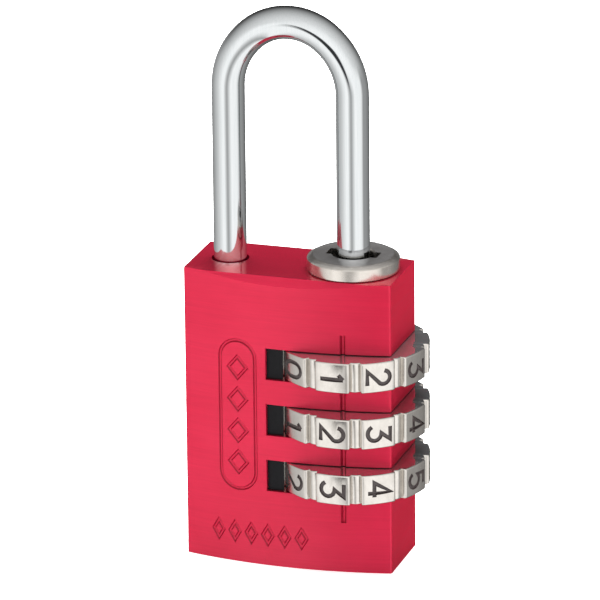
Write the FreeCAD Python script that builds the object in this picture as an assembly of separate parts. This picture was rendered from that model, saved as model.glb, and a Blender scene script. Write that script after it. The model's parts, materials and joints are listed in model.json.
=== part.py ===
"""Three-dial combination padlock with a 20 mm body.

Frame: the origin is the centre of the body's bottom face, +X points to the long leg of the shackle,
-Y is the front with the index groove, and +Z points up to the bow. All sizes are in millimetres.
The lock is closed and set to its opening code, so every hub's keyway is in line with its lug.
"""
import FreeCAD, Part
import os

from FreeCAD import Vector

# ---- driving dimensions -------------------------------------------------------------------------

# Body: a crowned block, bevelled along the top of its front and back
BODY_WIDTH = 20.0
BODY_HEIGHT = 28.25
EDGE_DEPTH = 7.8            # front to back at the body's sides
CROWN = 1.2                 # how far front and back bulge beyond the sides
CORNER_R = 0.15
BEVEL_START = 4.32          # where the top bevel begins, measured from the middle plane
BEVEL_SLOPE = 0.87

# Shackle
ROD_R = 1.55
TOE_X = -6.7
AXIS_X = 5.25               # long leg, hubs and dials share this axis
BOW_SPRING_Z = 44.9         # height where the straight legs end
BOW_RISE = 6.48             # of the rod's centre line, above BOW_SPRING_Z
BOW_TOP_R = 5.5
TOE_BOTTOM_Z = 24.05
TOE_CHAMFER = 0.4
TOE_HOLE_GAP = 0.2          # round the toe
TOE_HOLE_BOTTOM_Z = 23.6
LEG_BOTTOM_Z = 3.6
LUG_REACH = 2.4
LUG_WIDTH = 1.4
LUG_HEIGHT = 1.1
LUG_GAP = 0.13              # between a lug and the hub below it

# Dials
DIAL_PITCH = 5.48
TOP_DIAL_Z = 19.92
DIAL_COUNT = 3
DIAL_R = 7.1
DIAL_HEIGHT = 2.9
DIGITS = 10
FLUTE_WIDTH = 1.05
FLUTE_DEPTH = 0.32
DIAL_CHAMFER = 0.12
SLOT_HEIGHT = 3.04
SLOT_END_X = -1.75

# Hubs
BORE_R = 3.3
HUB_R = 3.22
HUB_HALF_PLATE = 1.45
HUB_BORE_R = 1.65
HUB_SKIRT_R = 2.6
HUB_GAP = 0.04              # between a hub's skirt and the hub below it
KEYWAY_REACH = 2.5
KEYWAY_WIDTH = 1.6
TOOTH_R = 3.85
TOOTH_WIDTH = 1.0
TOOTH_LOW = 0.2             # above the dial's middle
TOOTH_HIGH = 1.3
MESH_R = 3.95               # dial notches, and the recess below them that the teeth go down into
MESH_LOW = 0.1              # the notches start here, above the dial's middle
MESH_WIDTH = 1.15

# Collar and stop sleeve
COLLAR_HEIGHT = 1.5
COLLAR_R = 4.3
COLLAR_TOP_R = 3.8
COLLAR_CHAMFER = 0.3
COLLAR_BORE_R = 1.9
COLLAR_NOTCH_REACH = 2.45
COLLAR_NOTCH_WIDTH = 1.6
PRESSED_R = 3.28
STEM_BOTTOM_Z = 25.65
SLEEVE_GAP = 0.09           # between the sleeve and the top hub

# Index groove and engraved ornament on the front
INDEX_X = 5.6
INDEX_WIDTH = 0.52
INDEX_LOW = 4.9
INDEX_HIGH = 23.3
INDEX_FLOOR_Y = -4.47
ENGRAVING_DEPTH = 0.12
CAPSULE_X = -4.57
CAPSULE_Z = 14.6
CAPSULE_HALF_WIDTH = 1.88
CAPSULE_HALF_HEIGHT = 7.42
CAPSULE_LINE = 0.26
LOZENGE_LINE = 0.36
LOZENGE_PITCH = 3.1
LOZENGE_HALF_WIDTH = 1.1
LOZENGE_HALF_HEIGHT = 1.3
SMALL_LOZENGE_FIRST_X = -6.67
SMALL_LOZENGE_Z = 3.0
SMALL_LOZENGE_PITCH = 1.65
SMALL_LOZENGE_HALF_WIDTH = 0.65
SMALL_LOZENGE_HALF_HEIGHT = 1.1

# Detent parts in the pocket behind the slots
POCKET_LEFT = -5.0
POCKET_HALF_DEPTH = 2.4
POCKET_TOP = 22.4
POCKET_CORNER_R = 0.8
CARRIER_RIGHT = -2.4
SPRING_BACK_X = -4.6
LINER_R = 7.17
LINER_HALF_DEPTH = 4.7
BALL_R = 0.75
BALL_HOLE_R = 0.8
BALL_TIP_R = 7.18           # distance of the ball's tip from the dial axis

# Plugs that close the bottom
PLUG_LOW = 0.2
PLUG_HIGH = 2.0
PIN_R = 0.5
PIN_Z = 1.1
PIN_OUTER_Y = 4.55
BORE_PIN_INNER_Y = 1.6
POCKET_PIN_INNER_Y = 0.8

# Washer and spring under the lowest hub
WASHER_THICKNESS = 0.35
WASHER_BORE_R = 1.8
HUB_SPRING_R = 2.6
HUB_SPRING_WIRE_R = 0.18
DETENT_SPRING_R = 0.55
DETENT_SPRING_WIRE_R = 0.12
SPRING_TURNS = 3

FIT = 0.05                  # gap between parts that stay still beside each other
CLOSE_FIT = 0.02
BIG = 40.0                  # longer than anything it has to cut through

dial_heights = [TOP_DIAL_Z - i * DIAL_PITCH for i in range(DIAL_COUNT)]
washer_top = dial_heights[-1] + HUB_HALF_PLATE - DIAL_PITCH
pocket_middle = (POCKET_LEFT + SLOT_END_X) / 2
ball_x = AXIS_X - BALL_TIP_R - BALL_R

# ---- helpers ------------------------------------------------------------------------------------


def cylinder(radius, low, high, x=AXIS_X, y=0.0):
    """An upright cylinder between two heights."""
    return Part.makeCylinder(radius, high - low, Vector(x, y, low))


def tube(outer, inner, low, high, x=AXIS_X):
    """An upright tube between two heights."""
    return cylinder(outer, low, high, x).cut(cylinder(inner, low - 1, high + 1, x))


def block(x_low, x_high, y_low, y_high, z_low, z_high):
    """A box given by its limits along each axis."""
    return Part.makeBox(x_high - x_low, y_high - y_low, z_high - z_low, Vector(x_low, y_low, z_low))


def rod(radius, start, end):
    """A round bar between two points."""
    return Part.makeCylinder(radius, (end - start).Length, start, end - start)


def turned(shape, degrees):
    """A copy of a shape, turned about the dial axis."""
    copy = shape.copy()
    copy.rotate(Vector(AXIS_X, 0, 0), Vector(0, 0, 1), degrees)
    return copy


def prism(points, y_low, y_high):
    """A closed outline of (x, z) points, extruded from front to back."""
    corners = [Vector(x, y_low, z) for x, z in points]
    outline = Part.makePolygon(corners + corners[:1])
    return Part.Face(outline).extrude(Vector(0, y_high - y_low, 0))


def coil(mean_r, wire_r, length, turns):
    """A helical compression spring along +Z from the origin, with the wire inside 0 to length."""
    rise = length - 2 * wire_r
    path = Part.makeHelix(rise / turns, rise, mean_r)
    path.translate(Vector(0, 0, wire_r))
    section = Part.Wire(Part.makeCircle(wire_r, Vector(mean_r, 0, wire_r), Vector(0, 1, 0)))
    return Part.Wire(path.Edges).makePipeShell([section], True, True)


def one_solid(shape):
    """The only solid of a result, with its seams tidied."""
    solids = shape.removeSplitter().Solids
    if len(solids) != 1:
        raise ValueError(f"expected one solid, got {len(solids)}")
    return solids[0]


# ---- body ---------------------------------------------------------------------------------------


def crowned_block():
    """The extrusion: straight sides, bulged front and back, rounded corners, bevelled top edges."""
    half_w = BODY_WIDTH / 2
    half_d = EDGE_DEPTH / 2
    corners = [Vector(-half_w, -half_d, 0), Vector(half_w, -half_d, 0),
               Vector(half_w, half_d, 0), Vector(-half_w, half_d, 0)]
    front = Part.Arc(corners[0], Vector(0, -half_d - CROWN, 0), corners[1]).toShape()
    right = Part.makeLine(corners[1], corners[2])
    back = Part.Arc(corners[2], Vector(0, half_d + CROWN, 0), corners[3]).toShape()
    left = Part.makeLine(corners[3], corners[0])
    solid = Part.Face(Part.Wire([front, right, back, left])).extrude(Vector(0, 0, BODY_HEIGHT))
    upright = [e for e in solid.Edges if abs(e.tangentAt(e.FirstParameter).z) > 0.99]
    solid = solid.makeFillet(CORNER_R, upright)
    reach = 2.0
    drop = reach * BEVEL_SLOPE
    for side in (-1, 1):
        wedge = [Vector(-BIG / 2, side * (BEVEL_START - 1), BODY_HEIGHT + BEVEL_SLOPE),
                 Vector(-BIG / 2, side * (BEVEL_START + reach), BODY_HEIGHT - drop),
                 Vector(-BIG / 2, side * (BEVEL_START + reach), BODY_HEIGHT + BEVEL_SLOPE)]
        outline = Part.makePolygon(wedge + wedge[:1])
        solid = solid.cut(Part.Face(outline).extrude(Vector(BIG, 0, 0)))
    return solid


def capsule(shrink):
    """An upright stadium on the front, smaller all round by shrink, as a prism."""
    radius = CAPSULE_HALF_WIDTH - shrink
    straight = CAPSULE_HALF_HEIGHT - CAPSULE_HALF_WIDTH
    middle = block(CAPSULE_X - radius, CAPSULE_X + radius, -BIG, 0,
                   CAPSULE_Z - straight, CAPSULE_Z + straight)
    for end in (-straight, straight):
        middle = middle.fuse(rod(radius, Vector(CAPSULE_X, -BIG, CAPSULE_Z + end),
                                 Vector(CAPSULE_X, 0, CAPSULE_Z + end)))
    return middle


def lozenge(x, z, half_width, half_height):
    """An outlined diamond on the front, as a prism."""
    def diamond(w, h):
        return prism([(x - w, z), (x, z - h), (x + w, z), (x, z + h)], -BIG, 0)
    return diamond(half_width, half_height).cut(
        diamond(half_width - LOZENGE_LINE, half_height - LOZENGE_LINE * half_height / half_width))


def front_ornament():
    """The engraved frame, four diamonds in it, and a row of small diamonds below."""
    shapes = [capsule(0).cut(capsule(CAPSULE_LINE))]
    for row in range(4):
        shapes.append(lozenge(CAPSULE_X, CAPSULE_Z + (row - 1.5) * LOZENGE_PITCH,
                              LOZENGE_HALF_WIDTH, LOZENGE_HALF_HEIGHT))
    for column in range(6):
        shapes.append(lozenge(SMALL_LOZENGE_FIRST_X + column * SMALL_LOZENGE_PITCH, SMALL_LOZENGE_Z,
                              SMALL_LOZENGE_HALF_WIDTH, SMALL_LOZENGE_HALF_HEIGHT))
    return shapes


def pocket_prism(inset, low, high, right=SLOT_END_X):
    """The detent pocket, rounded at its left corners, smaller all round by inset."""
    solid = block(POCKET_LEFT + inset, right - inset, inset - POCKET_HALF_DEPTH,
                  POCKET_HALF_DEPTH - inset, low, high)
    corners = [e for e in solid.Edges if e.BoundBox.XMax < POCKET_LEFT + POCKET_CORNER_R
               and e.BoundBox.ZLength > 1]
    return solid.makeFillet(POCKET_CORNER_R - inset, corners)


def bore_pin(outer_y=PIN_OUTER_Y):
    """The cross pin that holds the bore plug, put in from the back."""
    return rod(PIN_R, Vector(AXIS_X, BORE_PIN_INNER_Y, PIN_Z), Vector(AXIS_X, outer_y, PIN_Z))


def pocket_pin(outer_y=PIN_OUTER_Y):
    """The cross pin that holds the pocket's plug, put in from the back."""
    return rod(PIN_R, Vector(pocket_middle, POCKET_PIN_INNER_Y, PIN_Z), Vector(pocket_middle, outer_y, PIN_Z))


def make_body():
    blank = crowned_block()
    solid = blank.copy()
    solid = solid.cut(cylinder(BORE_R, -1, BODY_HEIGHT + 1))
    solid = solid.cut(block(AXIS_X - MESH_R, AXIS_X, -MESH_WIDTH / 2, MESH_WIDTH / 2,
                            -1, TOP_DIAL_Z + SLOT_HEIGHT / 2))
    for z in dial_heights:
        solid = solid.cut(block(SLOT_END_X, BODY_WIDTH, -BIG, BIG,
                                z - SLOT_HEIGHT / 2, z + SLOT_HEIGHT / 2))
    solid = solid.cut(pocket_prism(0, -1, POCKET_TOP))
    solid = solid.cut(cylinder(ROD_R + TOE_HOLE_GAP, TOE_HOLE_BOTTOM_Z, BODY_HEIGHT + 1, TOE_X))
    solid = solid.cut(block(INDEX_X - INDEX_WIDTH / 2, INDEX_X + INDEX_WIDTH / 2,
                            -BIG, INDEX_FLOOR_Y, INDEX_LOW, INDEX_HIGH))
    solid = solid.cut(bore_pin(BIG))
    solid = solid.cut(pocket_pin(BIG))
    skin_floor = blank.copy()
    skin_floor.translate(Vector(0, ENGRAVING_DEPTH, 0))
    for shape in front_ornament():
        solid = solid.cut(shape.cut(skin_floor))
    return one_solid(solid)


# ---- shackle ------------------------------------------------------------------------------------


def make_shackle():
    """A rod bent to a slightly pointed bow, with three lugs on the long leg."""
    half = (AXIS_X - TOE_X) / 2
    middle = (AXIS_X + TOE_X) / 2
    top_r = BOW_TOP_R
    # side arcs start upright at the legs and meet the top arc with a common tangent
    side_r = (half ** 2 + (BOW_RISE - top_r) ** 2 - top_r ** 2) / (2 * (half - top_r))
    top_centre = Vector(middle, 0, BOW_SPRING_Z + BOW_RISE - top_r)
    top_point = Vector(middle, 0, BOW_SPRING_Z + BOW_RISE)

    def side_arc(sign):
        centre = Vector(middle - sign * (side_r - half), 0, BOW_SPRING_Z)
        foot = centre + Vector(sign * side_r, 0, 0)
        towards_top = (top_centre - centre).normalize()
        joint = centre + towards_top * side_r
        half_way = ((foot - centre).normalize() + towards_top).normalize()
        return foot, centre + half_way * side_r, joint

    left = side_arc(-1)
    right = side_arc(1)
    path = Part.Wire([
        Part.makeLine(Vector(TOE_X, 0, TOE_BOTTOM_Z), left[0]),
        Part.Arc(*left).toShape(),
        Part.Arc(left[2], top_point, right[2]).toShape(),
        Part.Arc(*reversed(right)).toShape(),
        Part.makeLine(right[0], Vector(AXIS_X, 0, LEG_BOTTOM_Z))])
    section = Part.Wire(Part.makeCircle(ROD_R, Vector(TOE_X, 0, TOE_BOTTOM_Z), Vector(0, 0, 1)))
    solid = path.makePipeShell([section], True, False)
    ends = [e for e in solid.Edges if e.BoundBox.ZLength < 0.01 and e.Closed
            and e.BoundBox.ZMax < TOE_BOTTOM_Z + 0.1]
    solid = solid.makeChamfer(TOE_CHAMFER, ends)
    for z in dial_heights:
        low = z - DIAL_PITCH + HUB_HALF_PLATE + LUG_GAP
        lug = block(AXIS_X - LUG_WIDTH / 2, AXIS_X + LUG_WIDTH / 2, 0, LUG_REACH, low, low + LUG_HEIGHT)
        solid = solid.fuse(lug.common(cylinder(LUG_REACH, low, low + LUG_HEIGHT)))
    return one_solid(solid)


# ---- dials and hubs -----------------------------------------------------------------------------


def make_dial_ring(z):
    """A number ring: ten panels between ten flutes outside, ten notches for the hub's tooth inside."""
    low = z - DIAL_HEIGHT / 2
    high = z + DIAL_HEIGHT / 2
    ring = cylinder(DIAL_R, low, high)
    ring = ring.makeChamfer(DIAL_CHAMFER, [e for e in ring.Edges if e.Closed])
    ring = ring.cut(cylinder(BORE_R, low - 1, high + 1))
    ring = ring.cut(cylinder(MESH_R, low - 1, z + MESH_LOW))
    step = 360 / DIGITS
    notch = block(AXIS_X - MESH_R, AXIS_X, -MESH_WIDTH / 2, MESH_WIDTH / 2, z, high + 1)
    flute = block(AXIS_X - DIAL_R - 1, AXIS_X - DIAL_R + FLUTE_DEPTH,
                  -FLUTE_WIDTH / 2, FLUTE_WIDTH / 2, low - 1, high + 1)
    for digit in range(DIGITS):
        ring = ring.cut(turned(notch, digit * step))
        ring = ring.cut(turned(flute, digit * step))
    return one_solid(ring)


def make_hub(z):
    """A clutch hub: plate with the lug's keyway, skirt round the lug's chamber, one outer tooth."""
    top = z + HUB_HALF_PLATE
    plate_low = z - HUB_HALF_PLATE
    bottom = top - DIAL_PITCH + HUB_GAP
    hub = cylinder(HUB_R, bottom, top)
    hub = hub.cut(cylinder(HUB_SKIRT_R, bottom - 1, plate_low))
    hub = hub.cut(cylinder(HUB_BORE_R, bottom - 1, top + 1))
    hub = hub.cut(block(AXIS_X - KEYWAY_WIDTH / 2, AXIS_X + KEYWAY_WIDTH / 2, 0, KEYWAY_REACH,
                        bottom - 1, top + 1))
    tooth = block(AXIS_X - TOOTH_R, AXIS_X - HUB_SKIRT_R - 0.2, -TOOTH_WIDTH / 2, TOOTH_WIDTH / 2,
                  z + TOOTH_LOW, z + TOOTH_HIGH)
    return one_solid(hub.fuse(tooth))


# ---- collar, sleeve, washer, spring, plugs ------------------------------------------------------


def key_notches(reach, low, high):
    """The two opposite notches through which the lugs are put in."""
    return block(AXIS_X - reach, AXIS_X + reach, -COLLAR_NOTCH_WIDTH / 2, COLLAR_NOTCH_WIDTH / 2, low, high)


def make_collar():
    top = BODY_HEIGHT + COLLAR_HEIGHT
    flange = cylinder(COLLAR_R, BODY_HEIGHT, top - COLLAR_CHAMFER)
    crown = Part.makeCone(COLLAR_R, COLLAR_TOP_R, COLLAR_CHAMFER, Vector(AXIS_X, 0, top - COLLAR_CHAMFER))
    stem = cylinder(PRESSED_R, STEM_BOTTOM_Z, BODY_HEIGHT)
    collar = flange.fuse(crown).fuse(stem)
    collar = collar.cut(cylinder(COLLAR_BORE_R, STEM_BOTTOM_Z - 1, top + 1))
    collar = collar.cut(key_notches(COLLAR_NOTCH_REACH, STEM_BOTTOM_Z - 1, top + 1))
    return one_solid(collar)


def make_stop_sleeve():
    """A sleeve with a shoulder that stops the top lug when the shackle is lifted."""
    low = TOP_DIAL_Z + HUB_HALF_PLATE + SLEEVE_GAP
    stop = TOP_DIAL_Z + HUB_HALF_PLATE + LUG_GAP + LUG_HEIGHT + FIT
    sleeve = cylinder(PRESSED_R, low, STEM_BOTTOM_Z)
    sleeve = sleeve.cut(cylinder(HUB_SKIRT_R, low - 1, stop))
    sleeve = sleeve.cut(cylinder(COLLAR_BORE_R, low - 1, STEM_BOTTOM_Z + 1))
    sleeve = sleeve.cut(key_notches(COLLAR_NOTCH_REACH, low - 1, STEM_BOTTOM_Z + 1))
    return one_solid(sleeve)


def make_hub_spring():
    length = washer_top - WASHER_THICKNESS - PLUG_HIGH
    spring = coil(HUB_SPRING_R, HUB_SPRING_WIRE_R, length, SPRING_TURNS)
    spring.translate(Vector(AXIS_X, 0, PLUG_HIGH))
    return one_solid(spring)


def make_bore_plug():
    """A round plug with a tab that fills the assembly groove."""
    plug = cylinder(PRESSED_R, PLUG_LOW, PLUG_HIGH)
    tab_half = MESH_WIDTH / 2 - CLOSE_FIT
    tab_left = AXIS_X - MESH_R + CLOSE_FIT
    plug = plug.fuse(block(tab_left, AXIS_X, -tab_half, tab_half, PLUG_LOW, PLUG_HIGH))
    return one_solid(plug.cut(bore_pin()))


def make_carrier_plug():
    plug = pocket_prism(CLOSE_FIT, PLUG_LOW, PLUG_HIGH)
    return one_solid(plug.cut(pocket_pin()))


def make_plug_pins():
    return Part.makeCompound([bore_pin(), pocket_pin()])


# ---- detents ------------------------------------------------------------------------------------


def make_detent_carrier():
    """A bar in the pocket with one blind hole per dial for a ball and its spring."""
    bar = pocket_prism(FIT, PLUG_HIGH + FIT, POCKET_TOP - FIT, CARRIER_RIGHT + FIT)
    for z in dial_heights:
        bar = bar.cut(rod(BALL_HOLE_R, Vector(SPRING_BACK_X, 0, z), Vector(0, 0, z)))
    return one_solid(bar)


def make_slot_liner(z):
    """The black lining of a slot's closed end, hollowed round the dial."""
    half_height = SLOT_HEIGHT / 2 - CLOSE_FIT
    low = z - half_height
    high = z + half_height
    horns = block(SLOT_END_X + CLOSE_FIT, AXIS_X, -LINER_HALF_DEPTH, LINER_HALF_DEPTH, low, high)
    web_half = POCKET_HALF_DEPTH - FIT
    web = block(CARRIER_RIGHT + CLOSE_FIT, AXIS_X, -web_half, web_half, low, high)
    liner = horns.fuse(web).cut(cylinder(LINER_R, low - 1, high + 1))
    liner = liner.cut(rod(BALL_HOLE_R, Vector(CARRIER_RIGHT - 1, 0, z), Vector(AXIS_X, 0, z)))
    return one_solid(liner)


def make_detent_ball(z):
    return Part.makeSphere(BALL_R, Vector(ball_x, 0, z))


def make_detent_spring(z):
    length = ball_x - BALL_R - SPRING_BACK_X
    spring = coil(DETENT_SPRING_R, DETENT_SPRING_WIRE_R, length, SPRING_TURNS)
    spring.rotate(Vector(0, 0, 0), Vector(0, 1, 0), 90)
    spring.translate(Vector(SPRING_BACK_X, 0, z))
    return one_solid(spring)


# ---- export -------------------------------------------------------------------------------------

parts = {
    "body": make_body(),
    "shackle": make_shackle(),
    "collar": make_collar(),
    "stop_sleeve": make_stop_sleeve(),
    "thrust_washer": tube(HUB_R, WASHER_BORE_R, washer_top - WASHER_THICKNESS, washer_top),
    "hub_spring": make_hub_spring(),
    "bore_plug": make_bore_plug(),
    "carrier_plug": make_carrier_plug(),
    "plug_pins": make_plug_pins(),
    "detent_carrier": make_detent_carrier(),
}
for number, height in enumerate(dial_heights, start=1):
    parts[f"dial_ring_{number}"] = make_dial_ring(height)
    parts[f"hub_{number}"] = make_hub(height)
    parts[f"slot_liner_{number}"] = make_slot_liner(height)
    parts[f"detent_ball_{number}"] = make_detent_ball(height)
    parts[f"detent_spring_{number}"] = make_detent_spring(height)

os.makedirs("parts", exist_ok=True)
for name, shape in parts.items():
    if not shape.isValid():
        raise ValueError(f"{name} is not a valid shape")
    shape.exportStep(f"parts/{name}.step")
    box = shape.BoundBox
    print(f"{name:18s} {shape.Volume:9.3f} mm3  x {box.XMin:7.2f} {box.XMax:7.2f}"
          f"  y {box.YMin:6.2f} {box.YMax:6.2f}  z {box.ZMin:6.2f} {box.ZMax:6.2f}")
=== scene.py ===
import json
import math

import bmesh
import bpy
from mathutils import Matrix, Vector


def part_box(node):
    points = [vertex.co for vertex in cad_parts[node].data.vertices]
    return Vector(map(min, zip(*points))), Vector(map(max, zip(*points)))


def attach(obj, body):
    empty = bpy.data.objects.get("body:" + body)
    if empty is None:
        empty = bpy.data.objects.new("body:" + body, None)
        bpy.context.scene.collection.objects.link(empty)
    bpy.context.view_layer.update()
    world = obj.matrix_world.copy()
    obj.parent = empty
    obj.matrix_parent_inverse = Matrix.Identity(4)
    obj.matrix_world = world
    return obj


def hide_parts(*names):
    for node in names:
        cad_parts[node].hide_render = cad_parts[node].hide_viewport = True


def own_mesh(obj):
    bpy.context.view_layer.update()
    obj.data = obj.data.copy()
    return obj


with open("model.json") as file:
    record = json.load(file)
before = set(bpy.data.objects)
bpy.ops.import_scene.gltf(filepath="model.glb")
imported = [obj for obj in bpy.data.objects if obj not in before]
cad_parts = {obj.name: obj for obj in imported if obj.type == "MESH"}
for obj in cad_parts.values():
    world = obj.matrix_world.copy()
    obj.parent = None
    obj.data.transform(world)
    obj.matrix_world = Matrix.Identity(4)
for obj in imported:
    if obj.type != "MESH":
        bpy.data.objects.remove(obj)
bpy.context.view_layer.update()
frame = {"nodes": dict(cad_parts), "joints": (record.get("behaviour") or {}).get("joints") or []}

# ---- sizes in metres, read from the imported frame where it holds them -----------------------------
# The others follow the CAD model, so that a finished piece fills the same space as its node.

MM = 0.001
DIALS = (1, 2, 3)
DIGITS = 10

body_low, body_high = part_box("body")
collar_low, collar_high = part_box("collar")
shackle_low, shackle_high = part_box("shackle")
pins_low, pins_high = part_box("plug_pins")
dial_boxes = {n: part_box(f"dial_ring_{n}") for n in DIALS}
joint_places = {j["name"]: Vector(j["pos_m"]) for j in frame["joints"] if "pos_m" in j}

axis_x = joint_places["dial_1_turn"].x
dial_r = (dial_boxes[1][1].y - dial_boxes[1][0].y) / 2
half_width = body_high.x
half_depth = body_high.y
body_top = body_high.z

# Case
CROWN = 1.2 * MM             # how far front and back bulge beyond the sides
CORNER_R = 0.15 * MM
BEVEL_START = 4.32 * MM      # the top bevel begins here, measured from the middle plane
BEVEL_SLOPE = 0.87
BEVEL_EDGE = 0.05 * MM       # rounding of the bevel's own edges
BEVEL_EDGE_ANGLE = 15        # degrees: flatter edges stay as they are
SLOT_HEIGHT = 3.04 * MM
SLOT_END_X = -1.75 * MM
BORE_R = 3.3 * MM
KEYWAY_REACH = 3.95 * MM     # recess beside the bore that the hubs' teeth go down into
KEYWAY_WIDTH = 1.15 * MM
POCKET_LEFT = -5.0 * MM
POCKET_HALF_DEPTH = 2.4 * MM
POCKET_TOP = 22.4 * MM
TOE_HOLE_R = 1.75 * MM
TOE_HOLE_BOTTOM = 23.6 * MM
INDEX_X = 5.6 * MM
INDEX_WIDTH = 0.52 * MM
INDEX_LOW = 4.9 * MM
INDEX_HIGH = 23.3 * MM
INDEX_DEPTH = 0.22 * MM
INDEX_FLOOR_HALF_WIDTH = 0.09 * MM
RIM_BEVEL = 0.06 * MM
RIM_ANGLE = 30               # degrees: sharper outer edges are rounded
STRIP = 0.25 * MM            # width of the strips that follow the crown
FLAT_MARGIN = 0.3 * MM       # round the bore, where the crown changes nothing
BORE_SIDES = 96
TOE_HOLE_SIDES = 64
PIN_HOLE_SIDES = 32

# Ornament on the front
CAPSULE_X = -4.57 * MM
CAPSULE_Z = 14.6 * MM
CAPSULE_HALF_WIDTH = 1.75 * MM
CAPSULE_HALF_HEIGHT = 7.29 * MM
CAPSULE_DEPTH = 0.13 * MM
CAPSULE_FLAT = 0.01 * MM     # half of the short straight at each round end
CAPSULE_END_STEPS = 16
LINE_HALF_WIDTH = 0.18 * MM
LINE_FLOOR_HALF_WIDTH = 0.07 * MM
DIAMONDS = 4
DIAMOND_PITCH = 3.1 * MM
DIAMOND_HALF_WIDTH = 0.88 * MM
DIAMOND_HALF_HEIGHT = 1.04 * MM
DIAMOND_DEPTH = 0.12 * MM
SMALL_DIAMONDS = 6
SMALL_DIAMOND_FIRST_X = -6.67 * MM
SMALL_DIAMOND_PITCH = 1.65 * MM
SMALL_DIAMOND_Z = 3.0 * MM
SMALL_DIAMOND_HALF_WIDTH = 0.5 * MM
SMALL_DIAMOND_HALF_HEIGHT = 0.85 * MM

# Shackle
BOW_SPRING_Z = 44.9 * MM     # height where the straight legs end
BOW_TOP_R = 5.5 * MM         # radius of the bow's middle arc; the arcs beside it are larger
BOW_TOP_STEPS = 64
BOW_SIDE_STEPS = 16
ROD_SIDES = 96
TOE_BOTTOM_Z = 24.05 * MM
TOE_CHAMFER = 0.4 * MM
LUG_WIDTH = 1.4 * MM
LUG_HEIGHT = 1.1 * MM
LUG_CORNER_R = 0.15 * MM
LUG_ABOVE_HUB = 0.13 * MM    # gap between a lug and the hub below it
HUB_HALF_PLATE = 1.45 * MM
DIAL_PITCH = 5.48 * MM
rod_r = -shackle_low.y
bow_rise = shackle_high.z - rod_r - BOW_SPRING_Z
toe_x = shackle_low.x + rod_r

# Dials
FLUTE_WIDTH = 1.05 * MM
FLUTE_DEPTH = 0.32 * MM
FLUTE_RIB = 0.12 * MM        # how far a flute's floor bulges between its valleys
FLUTE_FLOOR_SHARE = 0.86     # of the flute's width
FLUTE_STEPS = 8
PANEL_EDGE_R = 0.2 * MM
PANEL_FLATNESS = 0.25        # 0 is a round panel and 1 a flat one
PANEL_SHARE = 0.8            # of a sector that the panel's face covers
PANEL_STEPS = 12
DIAL_EDGE = 0.16 * MM
DIAL_EDGE_STEPS = 4
DIAL_HOLE_R = 3.95 * MM
NUMERAL_HEIGHT = 2.2 * MM    # along the ring's circumference
NUMERAL_WIDTH = 1.4 * MM     # across the ring
NUMERAL_LINE = 0.2 * MM      # half of the engraved line's width
NUMERAL_FLOOR = 0.15 * MM    # half of its floor's width
NUMERAL_DEPTH = 0.14 * MM

# Collar
COLLAR_R = 4.3 * MM
COLLAR_TOP_R = 3.8 * MM
COLLAR_CHAMFER = 0.3 * MM
COLLAR_EDGE = 0.06 * MM      # rounding of its outer edges
COLLAR_SEAT_GAP = 0.012 * MM     # under its flange, so that the two faces don't coincide
COLLAR_BORE_R = 1.9 * MM
COLLAR_BORE_CHAMFER = 0.12 * MM
COLLAR_STEM_R = 3.28 * MM
COLLAR_NOTCH_REACH = 2.45 * MM
COLLAR_NOTCH_WIDTH = 1.6 * MM
COLLAR_NOTCH_CORNER_R = 0.15 * MM
COLLAR_SIDES = 160

# Spring under the hubs
SPRING_R = 2.6 * MM
SPRING_WIRE_R = 0.18 * MM
SPRING_TURNS = 3
SPRING_STEPS = 48            # per turn
SPRING_WIRE_SIDES = 16

# ---- mesh tools ----------------------------------------------------------------------------------


def mesh_object(name, bm, *materials):
    """A new object from a bmesh, in the lock's frame."""
    bmesh.ops.recalc_face_normals(bm, faces=bm.faces)
    mesh = bpy.data.meshes.new(name)
    bm.to_mesh(mesh)
    bm.free()
    for material in materials:
        mesh.materials.append(material)
    obj = bpy.data.objects.new(name, mesh)
    bpy.context.scene.collection.objects.link(obj)
    return obj


def bake_modifiers(obj):
    """Replaces the object's mesh with the result of its modifiers."""
    graph = bpy.context.evaluated_depsgraph_get()
    result = bpy.data.meshes.new_from_object(obj.evaluated_get(graph))
    old = obj.data
    obj.modifiers.clear()
    obj.data = result
    bpy.data.meshes.remove(old)


def combine(obj, other, operation="DIFFERENCE", crossing=False):
    """Cuts other out of obj, or joins it on, and removes other. The faces that it leaves keep its
    own material. crossing says that other's own parts may cross each other."""
    modifier = obj.modifiers.new("combine", "BOOLEAN")
    modifier.operation = operation
    modifier.solver = "EXACT"
    modifier.use_self = crossing
    modifier.material_mode = "TRANSFER"
    modifier.object = other
    bake_modifiers(obj)
    bpy.data.objects.remove(other)


def circle(x, y, radius, count):
    """Points round a circle."""
    turn = 2 * math.pi / count
    return [(x + radius * math.cos(i * turn), y + radius * math.sin(i * turn))
            for i in range(count)]


def rectangle(x_low, x_high, y_low, y_high, radius=0.0, steps=6):
    """Points round a rectangle, its corners rounded if radius is given."""
    corners = ((x_high, y_high, 1, 1), (x_low, y_high, -1, 1),
               (x_low, y_low, -1, -1), (x_high, y_low, 1, -1))
    points = []
    for quarter, (x, y, sx, sy) in enumerate(corners):
        if not radius:
            points.append((x, y))
            continue
        for step in range(steps + 1):
            angle = (quarter + step / steps) * math.pi / 2
            points.append((x - sx * radius + radius * math.cos(angle),
                           y - sy * radius + radius * math.sin(angle)))
    return points


def upright(x, y, z):
    """Place for an outline of (x, y) points, extruded along Z."""
    return Vector((x, y, z))


def fore_and_aft(x, z, y):
    """Place for an outline of (x, z) points, extruded along Y."""
    return Vector((x, y, z))


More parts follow.
